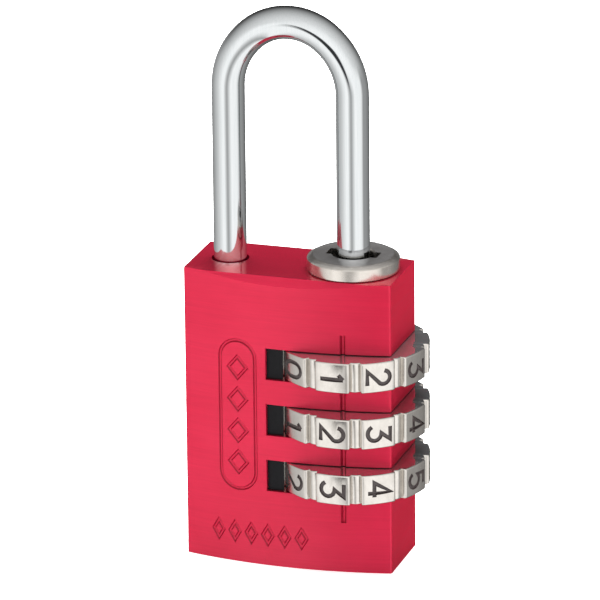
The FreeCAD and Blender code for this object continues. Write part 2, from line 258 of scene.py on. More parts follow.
def add_prism(bm, outline, low, high, place=upright):
    """Adds an outline, extruded from low to high. place is upright or fore_and_aft."""
    near = [bm.verts.new(place(u, v, low)) for u, v in outline]
    far = [bm.verts.new(place(u, v, high)) for u, v in outline]
    bm.faces.new(near[::-1])
    bm.faces.new(far)
    for i, j in zip(range(len(near)), list(range(1, len(near))) + [0]):
        bm.faces.new((near[i], near[j], far[j], far[i]))


def prism(outline, low, high, place=upright, material=None):
    """An object of that shape for combine."""
    bm = bmesh.new()
    add_prism(bm, outline, low, high, place)
    return mesh_object("cutter", bm, *([material] if material else []))


def add_lathe(bm, profile, centre_x, count):
    """Adds a closed profile of (radius, z) points, turned about an upright axis."""
    turn = 2 * math.pi / count
    rings = []
    for i in range(count):
        c, s = math.cos(i * turn), math.sin(i * turn)
        rings.append([bm.verts.new((centre_x + r * c, r * s, z)) for r, z in profile])
    for a, b in zip(rings, rings[1:] + rings[:1]):
        for i, j in zip(range(len(profile)), list(range(1, len(profile))) + [0]):
            bm.faces.new((a[i], b[i], b[j], a[j]))


def add_sweep(bm, path, normals, section, closed=False, scales=None):
    """Adds a bar along a path, mitred at corners. The section's points are (across, outward), and
    scales has the section's size at each point of the path."""
    count = len(path)
    rings = []
    for i, (point, normal) in enumerate(zip(path, normals)):
        before = (point - path[i - 1]).normalized() if i or closed else None
        after = (path[(i + 1) % count] - point).normalized() if i < count - 1 or closed else None
        before = before or after
        after = after or before
        tangent = (before + after).normalized()
        mitre = min(2.0, 1 / max(0.01, tangent.dot(after)))
        side = tangent.cross(normal).normalized()
        up = side.cross(tangent).normalized()
        scale = scales[i] if scales else 1.0
        rings.append([bm.verts.new(point + side * across * mitre * scale + up * outward * scale)
                      for across, outward in section])
    sides = len(section)
    pairs = zip(rings, rings[1:] + rings[:1]) if closed else zip(rings, rings[1:])
    for a, b in pairs:
        for k in range(sides):
            bm.faces.new((a[k], b[k], b[(k + 1) % sides], a[(k + 1) % sides]))
    if not closed:
        bm.faces.new(rings[0])
        bm.faces.new(rings[-1][::-1])


def groove_section(half, floor_half, depth):
    """Section of a cutter for a groove with sloping walls. The cutter stands out of the surface."""
    stand_out = 0.1 * MM
    top = half + (half - floor_half) * stand_out / depth
    return [(-top, stand_out), (top, stand_out), (floor_half, -depth), (-floor_half, -depth)]


def finish_shading(obj, sharp_degrees):
    """Smooth shading but for sharper edges, with normals that follow the large faces."""
    mesh = obj.data
    mesh.shade_smooth()
    mesh.set_sharp_from_angle(angle=math.radians(sharp_degrees))
    weighted = obj.modifiers.new("normals", "WEIGHTED_NORMAL")
    weighted.keep_sharp = True
    weighted.weight = 80


# ---- materials -----------------------------------------------------------------------------------


def material_with(name, **values):
    """A new node material, with uniform values set on its shader's own sockets."""
    material = bpy.data.materials.new(name)
    material.use_nodes = True
    shader = material.node_tree.nodes["Principled BSDF"]
    for key, value in values.items():
        shader.inputs[key.replace("_", " ")].default_value = value
    return material, material.node_tree, shader


def grain(tree, scale, detail=4.0, roughness=0.6):
    """Noise in the piece's own space. scale says how many cells per millimetre along X, Y and Z."""
    place = tree.nodes.new("ShaderNodeTexCoord")
    mapping = tree.nodes.new("ShaderNodeMapping")
    mapping.inputs["Scale"].default_value = [s / MM for s in scale]
    noise = tree.nodes.new("ShaderNodeTexNoise")
    noise.inputs["Scale"].default_value = 1.0
    noise.inputs["Detail"].default_value = detail
    noise.inputs["Roughness"].default_value = roughness
    tree.links.new(place.outputs["Object"], mapping.inputs["Vector"])
    tree.links.new(mapping.outputs["Vector"], noise.inputs["Vector"])
    return noise.outputs["Fac"]


def ramp(tree, factor, stops):
    """A colour ramp. Each stop is a position and a grey level or a colour."""
    node = tree.nodes.new("ShaderNodeValToRGB")
    elements = node.color_ramp.elements
    while len(elements) < len(stops):
        elements.new(0.5)
    for element, (position, colour) in zip(elements, stops):
        element.position = position
        rgb = colour if isinstance(colour, tuple) else (colour,) * 3
        element.color = (*rgb, 1.0)
    tree.links.new(factor, node.inputs["Fac"])
    return node.outputs["Color"]


def bump(tree, shader, height, strength, distance):
    """Gives the shader a bump."""
    node = tree.nodes.new("ShaderNodeBump")
    node.inputs["Strength"].default_value = strength
    node.inputs["Distance"].default_value = distance
    tree.links.new(height, node.inputs["Height"])
    tree.links.new(node.outputs["Normal"], shader.inputs["Normal"])


def mixed(tree, factor, first, second, blend="MIX"):
    """Two colours mixed by a factor, which is a socket or a number."""
    node = tree.nodes.new("ShaderNodeMix")
    node.data_type = "RGBA"
    node.blend_type = blend
    factor_in, first_in, second_in = node.inputs[0], node.inputs[6], node.inputs[7]
    for socket, value in ((factor_in, factor), (first_in, first), (second_in, second)):
        if isinstance(value, bpy.types.NodeSocket):
            tree.links.new(value, socket)
        elif isinstance(value, tuple):
            socket.default_value = (*value, 1.0)
        else:
            socket.default_value = value
    return node.outputs[2]


def math_node(tree, operation, first, second):
    """The result of a sum on two values, each a socket or a number."""
    node = tree.nodes.new("ShaderNodeMath")
    node.operation = operation
    for socket, value in zip(node.inputs, (first, second)):
        if isinstance(value, bpy.types.NodeSocket):
            tree.links.new(value, socket)
        else:
            socket.default_value = value
    return node.outputs[0]


def spread(tree, socket, low, high):
    """Maps the range low to high onto 0 to 1."""
    node = tree.nodes.new("ShaderNodeMapRange")
    node.inputs["From Min"].default_value = low
    node.inputs["From Max"].default_value = high
    tree.links.new(socket, node.inputs["Value"])
    return node.outputs[0]


def facing(tree, start=0.9):
    """The face's normal, split in three, and 1 for a face that looks up or 0 for a wall."""
    geometry = tree.nodes.new("ShaderNodeNewGeometry")
    normal = tree.nodes.new("ShaderNodeSeparateXYZ")
    tree.links.new(geometry.outputs["True Normal"], normal.inputs[0])
    return normal, ramp(tree, normal.outputs["Z"], [(start, 0.0), (0.97, 1.0)])


def anodised_red(name, shade_groove_walls=False):
    """Fine brushed aluminium under a red dye: streaks run round the case, and along it on top.
    Its groove form darkens the walls of engraved lines by the way they face: painted shade."""
    material, tree, shader = material_with(name, Specular_IOR_Level=0.0,
                                           Specular_Tint=(0.9, 0.10, 0.16, 1.0), Coat_IOR=1.7,
                                           Coat_Roughness=0.015)
    streaks = grain(tree, (0.15, 0.15, 5.0), detail=6.0, roughness=0.75)
    top_streaks = grain(tree, (0.15, 5.0, 0.15), detail=6.0, roughness=0.75)
    normal, upward = facing(tree)
    brushed = mixed(tree, upward, streaks, top_streaks)
    clouds = grain(tree, (0.10, 0.10, 0.16), detail=2.0)
    dye = ramp(tree, clouds, [(0.3, (0.50, 0.013, 0.044)), (0.7, (0.54, 0.017, 0.053))])
    shade = ramp(tree, brushed, [(0.25, 0.84), (0.70, 1.0)])
    colour = mixed(tree, 1.0, dye, shade, "MULTIPLY")
    # painted shade: the walls of engraved lines, found by their facing, are darkened
    if shade_groove_walls:
        squared = math_node(tree, "MULTIPLY", normal.outputs["Y"], normal.outputs["Y"])
        wall = ramp(tree, squared, [(0.80, 0.66), (0.95, 1.0)])
        colour = mixed(tree, 1.0, colour, wall, "MULTIPLY")
    tree.links.new(colour, shader.inputs["Base Color"])
    side_roughness = ramp(tree, brushed, [(0.2, 0.30), (0.8, 0.42)])
    top_roughness = ramp(tree, brushed, [(0.2, 0.03), (0.8, 0.06)])
    tree.links.new(mixed(tree, upward, side_roughness, top_roughness), shader.inputs["Roughness"])
    tree.links.new(ramp(tree, upward, [(0.0, 0.55), (1.0, 0.65)]), shader.inputs["Metallic"])
    tree.links.new(ramp(tree, upward, [(0.0, 0.22), (1.0, 1.0)]), shader.inputs["Coat Weight"])
    relief = mixed(tree, upward, brushed, mixed(tree, 0.8, brushed, (0.5, 0.5, 0.5)))
    bump(tree, shader, relief, 0.06, 0.02 * MM)
    return material


def polished_chrome():
    """Bright chrome plating with a faint haze and long fine polishing lines."""
    material, tree, shader = material_with("chrome_plate", Metallic=1.0)
    lines = grain(tree, (7.0, 7.0, 0.25), detail=3.0)
    haze = grain(tree, (0.5, 0.5, 0.3), detail=3.0)
    plating = ramp(tree, lines, [(0.3, (0.575, 0.60, 0.605)), (0.7, (0.62, 0.635, 0.64))])
    tree.links.new(plating, shader.inputs["Base Color"])
    tree.links.new(ramp(tree, haze, [(0.35, 0.05), (0.7, 0.10)]), shader.inputs["Roughness"])
    bump(tree, shader, lines, 0.04, 0.01 * MM)
    return material


def nickel():
    """Warm nickel plating: fine pits and soft marks on the panels, smoother on upward faces, which
    get a darker grey colour as painted shade.
    """
    material, tree, shader = material_with("nickel_plate")
    pits = grain(tree, (5.0, 5.0, 5.0), detail=4.0, roughness=0.6)
    wear = grain(tree, (1.2, 1.2, 0.8), detail=4.0)
    _, upward = facing(tree)
    plating = ramp(tree, wear, [(0.3, (0.60, 0.565, 0.52)), (0.7, (0.69, 0.655, 0.61))])
    # painted shade: upward faces get a darker, greyer plating colour than the panels
    tree.links.new(mixed(tree, upward, plating, (0.56, 0.56, 0.57)), shader.inputs["Base Color"])
    tree.links.new(ramp(tree, upward, [(0.0, 1.0), (1.0, 0.93)]), shader.inputs["Metallic"])
    panel = ramp(tree, pits, [(0.3, 0.16), (0.75, 0.28)])
    flat = ramp(tree, pits, [(0.3, 0.06), (0.75, 0.10)])
    tree.links.new(mixed(tree, upward, panel, flat), shader.inputs["Roughness"])
    bump(tree, shader, mixed(tree, upward, pits, (0.5, 0.5, 0.5)), 0.08, 0.015 * MM)
    return material


def numeral_paint():
    """Dark enamel in the engraved numerals."""
    material, tree, shader = material_with("numeral_paint", Metallic=0.0)
    flecks = grain(tree, (8.0, 8.0, 8.0), detail=3.0)
    enamel = ramp(tree, flecks, [(0.3, (0.026, 0.018, 0.017)), (0.75, (0.060, 0.045, 0.042))])
    tree.links.new(enamel, shader.inputs["Base Color"])
    tree.links.new(ramp(tree, flecks, [(0.3, 0.42), (0.7, 0.6)]), shader.inputs["Roughness"])
    return material


def turned_steel():
    """Turned and plated steel: rings round the long leg's axis, with painted shade that makes its
    upward face darker.
    """
    material, tree, shader = material_with("turned_steel")
    place = tree.nodes.new("ShaderNodeTexCoord")
    centred = tree.nodes.new("ShaderNodeMapping")
    centred.inputs["Location"].default_value = (-axis_x, 0.0, 0.0)
    tree.links.new(place.outputs["Object"], centred.inputs["Vector"])
    rings = tree.nodes.new("ShaderNodeTexWave")
    rings.wave_type = "RINGS"
    rings.rings_direction = "Z"
    rings.inputs["Scale"].default_value = 1.6 / MM
    rings.inputs["Distortion"].default_value = 1.5
    rings.inputs["Detail"].default_value = 3.0
    tree.links.new(centred.outputs["Vector"], rings.inputs["Vector"])
    _, upward = facing(tree, 0.85)
    wear = grain(tree, (1.5, 1.5, 1.0))
    wall = ramp(tree, wear, [(0.3, (0.60, 0.56, 0.51)), (0.7, (0.69, 0.65, 0.60))])
    # painted shade: the upward face gets a much darker colour than the walls
    flat = ramp(tree, wear, [(0.3, (0.37, 0.355, 0.35)), (0.7, (0.44, 0.425, 0.42))])
    tree.links.new(mixed(tree, upward, wall, flat), shader.inputs["Base Color"])
    tree.links.new(ramp(tree, upward, [(0.0, 1.0), (1.0, 0.86)]), shader.inputs["Metallic"])
    rough_wall = ramp(tree, wear, [(0.3, 0.20), (0.7, 0.30)])
    rough_flat = ramp(tree, wear, [(0.3, 0.10), (0.7, 0.16)])
    tree.links.new(mixed(tree, upward, rough_wall, rough_flat), shader.inputs["Roughness"])
    bump(tree, shader, rings.outputs["Fac"], 0.06, 0.01 * MM)
    return material


def plain_metal(name, dark, light, low=0.28, high=0.45):
    """Uncoated machined metal for the pieces inside."""
    material, tree, shader = material_with(name, Metallic=1.0)
    marks = grain(tree, (1.0, 1.0, 9.0), detail=5.0, roughness=0.65)
    tree.links.new(ramp(tree, marks, [(0.3, dark), (0.7, light)]), shader.inputs["Base Color"])
    tree.links.new(ramp(tree, marks, [(0.3, low), (0.7, high)]), shader.inputs["Roughness"])
    bump(tree, shader, marks, 0.1, 0.02 * MM)
    return material


def moulded_black():
    """Black plastic with a fine spark-eroded texture."""
    material, tree, shader = material_with("moulded_black", Metallic=0.0, Specular_IOR_Level=0.12)
    skin = grain(tree, (9.0, 9.0, 9.0), detail=3.0)
    colour = ramp(tree, skin, [(0.3, (0.003, 0.003, 0.004)), (0.7, (0.007, 0.007, 0.008))])
    tree.links.new(colour, shader.inputs["Base Color"])
    tree.links.new(ramp(tree, skin, [(0.3, 0.38), (0.7, 0.58)]), shader.inputs["Roughness"])
    bump(tree, shader, skin, 0.15, 0.02 * MM)
    return material


def studio_floor():
    """Matt white paper that glows a little, so that it stays as pale as the background."""
    material, tree, shader = material_with("studio_floor", Metallic=0.0, Specular_IOR_Level=0.1,
                                           Emission_Color=(1.0, 1.0, 1.0, 1.0),
                                           Emission_Strength=0.5)
    paper = grain(tree, (0.4, 0.4, 0.4), detail=4.0)
    tree.links.new(ramp(tree, paper, [(0.3, 0.93), (0.7, 0.95)]), shader.inputs["Base Color"])
    tree.links.new(ramp(tree, paper, [(0.3, 0.75), (0.7, 0.85)]), shader.inputs["Roughness"])
    return material


red = anodised_red("red_anodised")
# red for the engraved grooves, with painted shade on their walls
red_groove_painted_shade = anodised_red("red_engraved_painted_shade", shade_groove_walls=True)
chrome = polished_chrome()
plated = nickel()
paint = numeral_paint()
turned = turned_steel()
black = moulded_black()
brass = plain_metal("hub_brass", (0.62, 0.43, 0.18), (0.78, 0.58, 0.28))
steel = plain_metal("plain_steel", (0.42, 0.42, 0.43), (0.60, 0.60, 0.61))
wire = plain_metal("spring_wire", (0.28, 0.29, 0.31), (0.46, 0.47, 0.49), 0.2, 0.35)

# ---- case ----------------------------------------------------------------------------------------


def crown_drop(x):
    """How far the crowned front and back fall behind their middle at x."""
    radius = (half_width ** 2 + CROWN ** 2) / (2 * CROWN)
    return radius - math.sqrt(radius ** 2 - min(abs(x), half_width) ** 2)


def add_groove(bm, points, section, closed=True):
    """Adds the cutter for a groove along (x, z) points on the block's flat front."""
    path = [Vector((x, -half_depth, z)) for x, z in points]
    add_sweep(bm, path, [Vector((0, -1, 0))] * len(path), section, closed)


def ornament_cutter():
    """The capsule frame, the diamonds in it and the row of small diamonds below."""
    bm = bmesh.new()
    outline = rectangle(CAPSULE_X - CAPSULE_HALF_WIDTH, CAPSULE_X + CAPSULE_HALF_WIDTH,
                        CAPSULE_Z - CAPSULE_HALF_HEIGHT, CAPSULE_Z + CAPSULE_HALF_HEIGHT,
                        CAPSULE_HALF_WIDTH - CAPSULE_FLAT, CAPSULE_END_STEPS)
    add_groove(bm, outline, groove_section(LINE_HALF_WIDTH, LINE_FLOOR_HALF_WIDTH, CAPSULE_DEPTH))

    def diamond(x, z, half_w, half_h):
        add_groove(bm, [(x - half_w, z), (x, z - half_h), (x + half_w, z), (x, z + half_h)],
                   groove_section(LINE_HALF_WIDTH, LINE_FLOOR_HALF_WIDTH, DIAMOND_DEPTH))

    for row in range(DIAMONDS):
        diamond(CAPSULE_X, CAPSULE_Z + (row - (DIAMONDS - 1) / 2) * DIAMOND_PITCH,
                DIAMOND_HALF_WIDTH, DIAMOND_HALF_HEIGHT)
    for column in range(SMALL_DIAMONDS):
        diamond(SMALL_DIAMOND_FIRST_X + column * SMALL_DIAMOND_PITCH, SMALL_DIAMOND_Z,
                SMALL_DIAMOND_HALF_WIDTH, SMALL_DIAMOND_HALF_HEIGHT)
    return mesh_object("cutter", bm, red_groove_painted_shade)


def index_cutter():
    """The upright groove that the numbers are read against."""
    bm = bmesh.new()
    section = groove_section(INDEX_WIDTH / 2, INDEX_FLOOR_HALF_WIDTH, INDEX_DEPTH)
    add_groove(bm, [(INDEX_X, INDEX_LOW), (INDEX_X, INDEX_HIGH)], section, closed=False)
    return mesh_object("cutter", bm, red_groove_painted_shade)


def on_outside(edge):
    """True for an edge whose ends both lie in the flat block's outer faces."""
    def inside(v):
        gaps = (abs(abs(v.co.x) - half_width), abs(abs(v.co.y) - half_depth), v.co.z,
                body_top - v.co.z)
        return min(gaps) > 0.001 * MM
    return not any(inside(v) for v in edge.verts)


def round_edges(bm, edges, least_angle, offset, clamp):
    """Rounds those of the edges whose faces meet at more than least_angle degrees."""
    sharp = [e for e in edges if len(e.link_faces) == 2
             and e.calc_face_angle(0) > math.radians(least_angle)]
    bmesh.ops.bevel(bm, geom=sharp, offset=offset, offset_type="OFFSET", segments=2, profile=0.5,
                    affect="EDGES", clamp_overlap=clamp)


def bisect(bm, point, normal, clear=False):
    """Cuts the mesh along a plane, clears what lies outside it if asked, and returns the cut."""
    geometry = bm.verts[:] + bm.edges[:] + bm.faces[:]
    result = bmesh.ops.bisect_plane(bm, geom=geometry, dist=0.0001 * MM, plane_co=point,
                                    plane_no=normal, clear_outer=clear)
    return [e for e in result["geom_cut"] if isinstance(e, bmesh.types.BMEdge)]


def bevel_top(bm, side):
    """Cuts the sloping bevel along the top of the front (-1) or back (1) and rounds its edges."""
    rim = bisect(bm, Vector((0, side * BEVEL_START, body_top)),
                 Vector((0, side * BEVEL_SLOPE, 1)).normalized(), clear=True)
    bmesh.ops.holes_fill(bm, edges=rim)
    round_edges(bm, [e for e in rim if e.is_valid], BEVEL_EDGE_ANGLE, BEVEL_EDGE, clamp=True)


def make_case():
    """Cut as a flat block, engraved, and then bent to the crown of its front and back."""
    bm = bmesh.new()
    add_prism(bm, rectangle(-half_width, half_width, -half_depth, half_depth, CORNER_R), 0,
              body_top)
    case = mesh_object("case", bm, red)
    for low, high in dial_boxes.values():
        middle = (low.z + high.z) / 2
        combine(case, prism(rectangle(SLOT_END_X, 2 * half_width, middle - SLOT_HEIGHT / 2,
                                      middle + SLOT_HEIGHT / 2), -2 * half_depth, 2 * half_depth,
                            fore_and_aft))
    slots_top = dial_boxes[1][1].z
    combine(case, prism(circle(axis_x, 0, BORE_R, BORE_SIDES), -MM, body_top + MM))
    combine(case, prism(rectangle(axis_x - KEYWAY_REACH, axis_x, -KEYWAY_WIDTH / 2,
                                  KEYWAY_WIDTH / 2), -MM, slots_top))
    combine(case, prism(rectangle(POCKET_LEFT, SLOT_END_X, -POCKET_HALF_DEPTH, POCKET_HALF_DEPTH),
                        -MM, POCKET_TOP))
    combine(case, prism(circle(toe_x, 0, TOE_HOLE_R, TOE_HOLE_SIDES), TOE_HOLE_BOTTOM,
                        body_top + MM))
    pin_r = (pins_high.z - pins_low.z) / 2
    pin_z = (pins_high.z + pins_low.z) / 2
    for x in (axis_x, (POCKET_LEFT + SLOT_END_X) / 2):
        combine(case, prism(circle(x, pin_z, pin_r, PIN_HOLE_SIDES), pins_low.y, 2 * half_depth,
                            fore_and_aft))
    bm = bmesh.new()
    bm.from_mesh(case.data)
    round_edges(bm, [e for e in bm.edges if on_outside(e)], RIM_ANGLE, RIM_BEVEL, clamp=False)
    bm.to_mesh(case.data)
    bm.free()
    combine(case, index_cutter())
    combine(case, ornament_cutter(), crossing=True)
    bm = bmesh.new()
    bm.from_mesh(case.data)
    for i in range(1, round(2 * half_width / STRIP)):
        bisect(bm, (i * STRIP - half_width, 0, 0), (1, 0, 0))
    for v in bm.verts:
        if abs(v.co.y) > BORE_R + FLAT_MARGIN:
            v.co.y -= math.copysign(crown_drop(v.co.x), v.co.y)
    bevel_top(bm, -1)
    bevel_top(bm, 1)
    bm.to_mesh(case.data)
    bm.free()
    finish_shading(case, 25)
    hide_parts("body")
    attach(case, "case")


# ---- shackle -------------------------------------------------------------------------------------


def bow_points():
    """The rod's centre line from the toe over the bow to the end of the long leg."""
    half = (axis_x - toe_x) / 2
    middle = (axis_x + toe_x) / 2
    side_r = (half ** 2 + (bow_rise - BOW_TOP_R) ** 2 - BOW_TOP_R ** 2) / (2 * (half - BOW_TOP_R))
    centre_gap = side_r - half
    turn = math.atan2(bow_rise - BOW_TOP_R, centre_gap)
    left = [(middle + centre_gap - side_r * math.cos(a), BOW_SPRING_Z + side_r * math.sin(a))
            for a in (turn * i / BOW_SIDE_STEPS for i in range(BOW_SIDE_STEPS + 1))]
    top_z = BOW_SPRING_Z + bow_rise - BOW_TOP_R
    over = math.pi - 2 * turn
    top = [(middle - BOW_TOP_R * math.cos(a), top_z + BOW_TOP_R * math.sin(a))
           for a in (turn + over * i / BOW_TOP_STEPS for i in range(1, BOW_TOP_STEPS))]
    right = [(2 * middle - x, z) for x, z in reversed(left)]
    return [Vector((x, 0, z)) for x, z in left + top + right]


def make_shackle():
    """The bent rod, with a chamfered toe, and the three lugs on its long leg."""
    toe = [Vector((toe_x, 0, TOE_BOTTOM_Z + dz)) for dz in (0, TOE_CHAMFER, 2 * TOE_CHAMFER)]
    bow = bow_points()
    leg_end = Vector((axis_x, 0, shackle_low.z))
    path = toe + bow + [leg_end]
    scales = [1 - TOE_CHAMFER / rod_r] + [1.0] * (len(path) - 1)
    bm = bmesh.new()
    add_sweep(bm, path, [Vector((0, -1, 0))] * len(path), circle(0, 0, rod_r, ROD_SIDES),
              scales=scales)
    shackle = mesh_object("shackle_rod", bm, chrome)
    reach = shackle_high.y
    for low, high in dial_boxes.values():
        bottom = (low.z + high.z) / 2 - DIAL_PITCH + HUB_HALF_PLATE + LUG_ABOVE_HUB
        lug = prism(rectangle(axis_x - LUG_WIDTH / 2, axis_x + LUG_WIDTH / 2, 0, reach,
                              LUG_CORNER_R), bottom, bottom + LUG_HEIGHT, material=chrome)
        combine(shackle, lug, "UNION")
    finish_shading(shackle, 40)
    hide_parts("shackle")
    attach(shackle, "shackle")


# ---- collar --------------------------------------------------------------------------------------


def make_collar():
    """A turned ring on a stem, with a notch on each side of its bore."""
    top = collar_high.z
    bottom = collar_low.z
    edge = COLLAR_EDGE
    seat = body_top + COLLAR_SEAT_GAP
    profile = [(COLLAR_BORE_R, bottom), (COLLAR_BORE_R, top - COLLAR_BORE_CHAMFER),
               (COLLAR_BORE_R + COLLAR_BORE_CHAMFER, top), (COLLAR_TOP_R - edge, top),
               (COLLAR_TOP_R + edge, top - edge),
               (COLLAR_R - edge, top - COLLAR_CHAMFER + edge * 0.6),
               (COLLAR_R, top - COLLAR_CHAMFER - edge), (COLLAR_R, body_top + 2 * edge),
               (COLLAR_R - 2 * edge, seat), (COLLAR_STEM_R, seat), (COLLAR_STEM_R, bottom)]
    bm = bmesh.new()
    add_lathe(bm, profile, axis_x, COLLAR_SIDES)
    collar = mesh_object("collar_ring", bm, turned)
    combine(collar, prism(rectangle(axis_x - COLLAR_NOTCH_REACH, axis_x + COLLAR_NOTCH_REACH,
                                    -COLLAR_NOTCH_WIDTH / 2, COLLAR_NOTCH_WIDTH / 2,
                                    COLLAR_NOTCH_CORNER_R), bottom - MM, top + MM))
    finish_shading(collar, 30)
    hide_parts("collar")
    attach(collar, "case")


# ---- dials ---------------------------------------------------------------------------------------


def arc(cx, cy, rx, ry, start, end, steps=10):
    """Points on an elliptical arc, angles in degrees counter-clockwise from +x."""
    turn = math.radians(end - start)
    return [(cx + rx * math.cos(math.radians(start) + turn * i / steps),
             cy + ry * math.sin(math.radians(start) + turn * i / steps)) for i in range(steps + 1)]


def numeral_strokes(digit):
    """Centre lines of a plain numeral, in a box from 0 to 1 each way. Each has its points and says
    whether it is closed."""
    if digit == 0:
        return [(arc(0.5, 0.62, 0.5, 0.38, 0, 180) + arc(0.5, 0.38, 0.5, 0.38, 180, 360), True)]
    if digit == 1:
        return [([(0.6, 0), (0.6, 1)], False), ([(0.6, 1), (0.26, 0.8)], False)]
    if digit == 2:
        return [(arc(0.5, 0.7, 0.47, 0.3, 170, -28) + [(0.03, 0), (1, 0)], False)]
    if digit == 3:
        hook = arc(0.46, 0.3, 0.5, 0.3, 72, -158)
        return [([(0.06, 1), (0.94, 1), (0.46, 0.6)] + hook, False)]
    if digit == 4:
        return [([(0.72, 0), (0.72, 1), (0.0, 0.28), (1, 0.28)], False)]
    if digit == 5:
        hook = arc(0.47, 0.325, 0.5, 0.325, 130, -155)
        return [([(0.92, 1), (0.18, 1), (0.08, 0.52)] + hook, False)]
    if digit == 6:
        return [(arc(0.5, 0.32, 0.48, 0.32, 0, 360, 20)[:-1], True),
                ([(0.04, 0.4), (0.16, 0.7), (0.66, 1)], False)]
    if digit == 7:
        return [([(0.02, 1), (0.98, 1), (0.36, 0)], False)]
    if digit == 8:
        return [(arc(0.5, 0.76, 0.4, 0.24, 0, 360, 20)[:-1], True),
                (arc(0.5, 0.27, 0.5, 0.27, 0, 360, 20)[:-1], True)]
    return [(arc(0.5, 0.68, 0.48, 0.32, 0, 360, 20)[:-1], True),
            ([(0.96, 0.6), (0.84, 0.3), (0.34, 0)], False)]


def panel_radius(angle):
    """Radius of a panel's face, a little flatter than round, at an angle from its middle."""
    half = math.pi / DIGITS
    flat = math.cos(half * PANEL_SHARE) / math.cos(angle)
    return dial_r * (1 - PANEL_FLATNESS + PANEL_FLATNESS * flat)


def dial_outline():
    """The ring's outer outline as (angle, radius): panels with rounded edges, and flutes."""
    sector = 2 * math.pi / DIGITS
    half_flute = FLUTE_WIDTH / 2 / dial_r
    edge = PANEL_EDGE_R / dial_r
    panel_half = sector / 2 - half_flute
    points = []
    for i in range(DIGITS):
        middle = (i + 0.5) * sector
        for step in range(PANEL_STEPS + 1):
            a = (step / PANEL_STEPS * 2 - 1) * (panel_half - edge)
            points.append((middle + a, panel_radius(a)))
        rim = panel_radius(panel_half - edge)
        for k in range(1, DIAL_EDGE_STEPS + 1):
            a = k / DIAL_EDGE_STEPS * math.pi / 2
            points.append((middle + panel_half - edge + edge * math.sin(a),
                           rim - PANEL_EDGE_R * (1 - math.cos(a))))
        floor = dial_r - FLUTE_DEPTH
        for step in range(FLUTE_STEPS + 1):
            t = step * 2 / FLUTE_STEPS - 1
            points.append(((i + 1) * sector + FLUTE_FLOOR_SHARE * t * half_flute,
                           floor - FLUTE_RIB * t * t))
        for k in range(DIAL_EDGE_STEPS, 0, -1):
            a = k / DIAL_EDGE_STEPS * math.pi / 2
            points.append((middle + sector - panel_half + edge - edge * math.sin(a),
                           rim - PANEL_EDGE_R * (1 - math.cos(a))))
    return points


def add_dial_body(bm, low, high):
    """Adds the ring with rounded top and bottom edges."""
    outline = dial_outline()
    quarter = [math.pi / 2 * k / DIAL_EDGE_STEPS for k in range(DIAL_EDGE_STEPS + 1)]
    rounding = [(1 - math.cos(a), 1 - math.sin(a)) for a in quarter]
    levels = [(low + rise * DIAL_EDGE, inset) for rise, inset in rounding]
    levels += [(high - rise * DIAL_EDGE, inset) for rise, inset in reversed(rounding)]
    loops = []
    for z, inset in levels:
        loops.append([bm.verts.new((axis_x + (r - inset * DIAL_EDGE) * math.cos(a),
                                    (r - inset * DIAL_EDGE) * math.sin(a), z)) for a, r in outline])
    for z in (high, low):
        loops.append([bm.verts.new((axis_x + DIAL_HOLE_R * math.cos(a),
                                    DIAL_HOLE_R * math.sin(a), z)) for a, _ in outline])
    count = len(outline)
    for a, b in zip(loops, loops[1:] + loops[:1]):
        for i in range(count):
            bm.faces.new((a[i], a[(i + 1) % count], b[(i + 1) % count], b[i]))


def numeral_cutter(number, middle_z):
    """Cutting tool for the ten numerals. The ring's own number faces the index groove."""
    bm = bmesh.new()
    section = groove_section(NUMERAL_LINE, NUMERAL_FLOOR, NUMERAL_DEPTH)
    for digit in range(DIGITS):
        centre = math.radians(-90 + (digit - number) * 360 / DIGITS)
        for stroke, closed in numeral_strokes(digit):
            path = []
            normals = []
            for u, v in stroke:
                angle = (v - 0.5) * NUMERAL_HEIGHT / dial_r
                outward = Vector((math.cos(centre + angle), math.sin(centre + angle), 0))
                place = outward * panel_radius(angle)
                path.append(Vector((axis_x, 0, middle_z - (u - 0.5) * NUMERAL_WIDTH)) + place)
                normals.append(outward)
            add_sweep(bm, path, normals, section, closed)
    return mesh_object("cutter", bm, paint)


def make_dial(number):
    """A number ring with its engraved and filled numerals."""
    low, high = dial_boxes[number]
    bm = bmesh.new()
    add_dial_body(bm, low.z, high.z)
    dial = mesh_object(f"dial_{number}_ring", bm, plated)
    combine(dial, numeral_cutter(number, (low.z + high.z) / 2), crossing=True)
    finish_shading(dial, 30)
    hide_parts(f"dial_ring_{number}")
    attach(dial, f"dial_{number}")


# ---- spring under the hubs -----------------------------------------------------------------------


def make_hub_spring():
    """The coil that pushes the hubs up."""
    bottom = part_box("bore_plug")[1].z
    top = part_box("thrust_washer")[0].z
    steps = SPRING_STEPS * SPRING_TURNS
    path = []
    normals = []
    for i in range(steps + 1):
        angle = 2 * math.pi * SPRING_TURNS * i / steps
        outward = Vector((math.cos(angle), math.sin(angle), 0))
        z = bottom + SPRING_WIRE_R + (top - bottom - 2 * SPRING_WIRE_R) * i / steps
        path.append(Vector((axis_x, 0, z)) + outward * SPRING_R)
        normals.append(outward)
    bm = bmesh.new()
    add_sweep(bm, path, normals, circle(0, 0, SPRING_WIRE_R, SPRING_WIRE_SIDES))
    spring = mesh_object("hub_coil", bm, wire)
    finish_shading(spring, 40)
    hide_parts("hub_spring")
    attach(spring, "case")
    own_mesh(spring)


# ---- pieces that keep their CAD shape ------------------------------------------------------------


def finish_cad_nodes():
    """Gives every carried-over node its material."""
    looks = {"bore_plug": red, "carrier_plug": red, "plug_pins": steel, "stop_sleeve": steel,
             "thrust_washer": steel, "detent_carrier": black}
    for n in DIALS:
        looks[f"hub_{n}"] = brass
        looks[f"slot_liner_{n}"] = black
        looks[f"detent_ball_{n}"] = steel
        looks[f"detent_spring_{n}"] = wire
    for name, material in looks.items():
        mesh = frame["nodes"][name].data
        mesh.materials.clear()
        mesh.materials.append(material)


# ---- camera, light and floor ---------------------------------------------------------------------

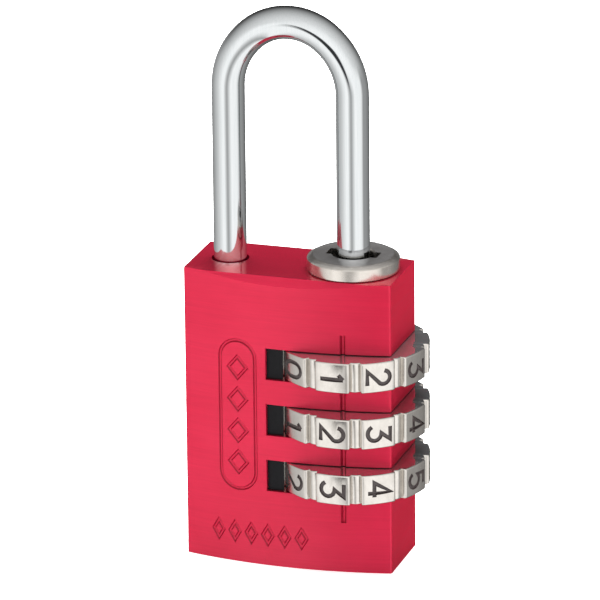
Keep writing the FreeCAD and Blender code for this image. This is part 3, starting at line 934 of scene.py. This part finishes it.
AZIMUTH = math.radians(17.91)        # of the camera, round to the right from the front
ELEVATION = math.radians(18.97)
ROLL = math.radians(-0.56)
DISTANCE = 560.5 * MM                # from the camera to the point that it aims at
LENS = 363.0
AIM = Vector((0.03, 0, 24.67)) * MM
NEAREST = 0.05                       # what the camera sees, in metres
FARTHEST = 20.0
FLOOR_R = 30.0
WORLD_STRENGTH = 1.5
WHITE = (1.0, 1.0, 1.0)
CARD_GREY = (0.03, 0.032, 0.034)


def make_camera():
    """The photograph's view."""
    data = bpy.data.cameras.new("camera")
    data.lens = LENS
    data.clip_start = NEAREST
    data.clip_end = FARTHEST
    camera = bpy.data.objects.new("camera", data)
    back = Vector((math.sin(AZIMUTH) * math.cos(ELEVATION),
                   -math.cos(AZIMUTH) * math.cos(ELEVATION), math.sin(ELEVATION)))
    level = Vector((math.cos(AZIMUTH), math.sin(AZIMUTH), 0))
    over = back.cross(level)
    right = level * math.cos(ROLL) + over * math.sin(ROLL)
    over = back.cross(right)
    turn = Matrix((right, over, back)).transposed().to_4x4()
    camera.matrix_world = Matrix.Translation(AIM + back * DISTANCE) @ turn
    bpy.context.scene.collection.objects.link(camera)
    bpy.context.scene.camera = camera


def make_floor():
    """A plain pale floor, which the polished pieces don't mirror."""
    bm = bmesh.new()
    bmesh.ops.create_circle(bm, cap_ends=True, segments=96, radius=FLOOR_R)
    floor = mesh_object("studio_floor", bm, studio_floor())
    floor.visible_glossy = False


def make_world():
    """A soft studio. Level with the lock or below, two bright panels stand either side of a narrow
    gap in front, and it is dim behind. Above, the brightness falls from the front to the back.
    A small dark card draws the dark line on the bow. The background itself is white."""
    world = bpy.data.worlds.new("studio")
    world.use_nodes = True
    bpy.context.scene.world = world
    tree = world.node_tree
    background = tree.nodes["Background"]
    place = tree.nodes.new("ShaderNodeTexCoord")
    turned_round = tree.nodes.new("ShaderNodeMapping")
    turned_round.inputs["Rotation"].default_value = (0, 0, -AZIMUTH)
    split = tree.nodes.new("ShaderNodeSeparateXYZ")
    tree.links.new(place.outputs["Generated"], turned_round.inputs["Vector"])
    tree.links.new(turned_round.outputs["Vector"], split.inputs[0])
    forward = math_node(tree, "MULTIPLY", split.outputs["Y"], -1.0)
    azimuth = math_node(tree, "ARCTAN2", split.outputs["X"], forward)

    def at(degrees):
        """Where that azimuth, from the camera's, lies on the ramp."""
        return (degrees + 180) / 360

    sides = ramp(tree, spread(tree, azimuth, -math.pi, math.pi), [
        (at(-180), 0.12), (at(-150), 0.24), (at(-123), 0.33), (at(-99), 0.50), (at(-80), 0.62),
        (at(-63), 0.80), (at(-46), 0.97), (at(-20), 0.97), (at(20), 0.97), (at(50), 0.95),
        (at(62), 0.88), (at(76), 0.32), (at(100), 0.30), (at(140), 0.14), (at(170), 0.12)])
    gap = ramp(tree, spread(tree, azimuth, math.radians(-37), math.radians(23)), [
        (0.08, 1.0), (0.32, 0.50), (0.45, 0.38), (0.55, 0.50), (0.88, 1.0)])
    low_down = ramp(tree, spread(tree, split.outputs["Z"], -1.0, 1.0), [(0.38, 1.0), (0.46, 0.0)])
    panels = mixed(tree, 1.0, sides, mixed(tree, low_down, WHITE, gap), "MULTIPLY")
    sky = ramp(tree, spread(tree, forward, -1.0, 1.0), [
        (0.02, 0.02), (0.12, 0.08), (0.26, 0.24), (0.45, 0.42), (0.60, 0.55), (0.84, 0.75),
        (0.98, 1.0)])
    upper = ramp(tree, spread(tree, split.outputs["Z"], -1.0, 1.0), [(0.50, 0.0), (0.62, 1.0)])
    open_studio = mixed(tree, upper, panels, sky)
    card_width = ramp(tree, spread(tree, azimuth, math.radians(-40), math.radians(20)), [
        (0.05, 0.0), (0.15, 1.0), (0.44, 1.0), (0.54, 0.0)])
    card_height = ramp(tree, spread(tree, split.outputs["Z"], -0.4, 0.2), [
        (0.24, 0.0), (0.34, 1.0), (0.70, 1.0), (0.80, 0.0)])
    card = mixed(tree, 1.0, card_width, card_height, "MULTIPLY")
    studio = mixed(tree, card, open_studio, CARD_GREY)
    rays = tree.nodes.new("ShaderNodeLightPath")
    shown = mixed(tree, rays.outputs["Is Camera Ray"], studio, WHITE)
    tree.links.new(shown, background.inputs["Color"])
    background.inputs["Strength"].default_value = WORLD_STRENGTH


def make_light(name, place, aim, size, power):
    """A soft round lamp. It isn't mirrored: what the polished pieces mirror is the world."""
    data = bpy.data.lights.new(name, "AREA")
    data.shape = "DISK"
    data.size = size
    data.energy = power
    light = bpy.data.objects.new(name, data)
    light.location = place
    light.rotation_mode = "QUATERNION"
    light.rotation_quaternion = (Vector(aim) - Vector(place)).to_track_quat("-Z", "Y")
    light.visible_glossy = False
    bpy.context.scene.collection.objects.link(light)


make_case()
make_shackle()
make_collar()
make_hub_spring()
for dial_number in DIALS:
    make_dial(dial_number)
finish_cad_nodes()
make_camera()
make_floor()
make_world()
make_light("overhead", place=(-0.05, 0.3, 0.9), aim=(0, 0, 0), size=0.8, power=29.0)
make_light("right_fill", place=(0.8, 0.1, 0.3), aim=(0, 0, 0.02), size=0.5, power=1.0)
bpy.context.scene.view_settings.view_transform = "Standard"
